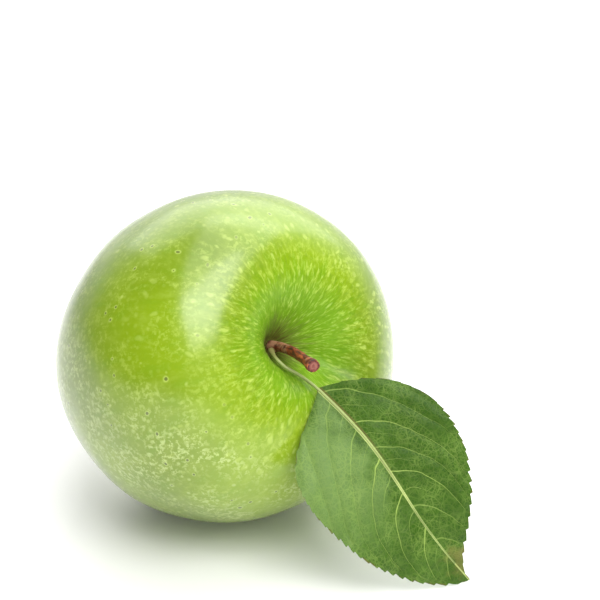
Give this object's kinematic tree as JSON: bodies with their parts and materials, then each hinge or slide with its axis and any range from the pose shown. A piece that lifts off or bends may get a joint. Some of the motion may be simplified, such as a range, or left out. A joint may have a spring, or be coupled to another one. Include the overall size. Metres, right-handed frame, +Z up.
{
  "type": "green apple with leaf",
  "caption": "Green apple lying on its side, with its woody stem in a deep cavity, one serrated leaf on a thin stalk, and the dried calyx at the far end.",
  "frame": {"origin": "middle of the small flat spot that the fruit lies on", "axes": "+Z up from the surface it lies on; the stem end of the core looks towards -Y, turned 40 degrees to +X and raised 26 degrees; the leaf hangs down at +X, -Y"},
  "size_m": [0.0961, 0.0877, 0.0781],
  "materials": {
    "skin": "smooth waxy apple skin, bright green with pale dots and streaks",
    "stem_bark": "rough reddish-brown bark",
    "leaf_blade": "satin green leaf with pale veins",
    "dried_sepal": "dry, dull brown",
    "dried_stamen": "dry, dull dark brown"
  },
  "bodies": {
    "root": {"fruit": "skin", "stem": "stem_bark", "leaf": "leaf_blade", "sepal_1": "dried_sepal", "sepal_2": "dried_sepal", "sepal_3": "dried_sepal", "sepal_4": "dried_sepal", "sepal_5": "dried_sepal", "stamens": "dried_stamen"}
  },
  "joints": []
}
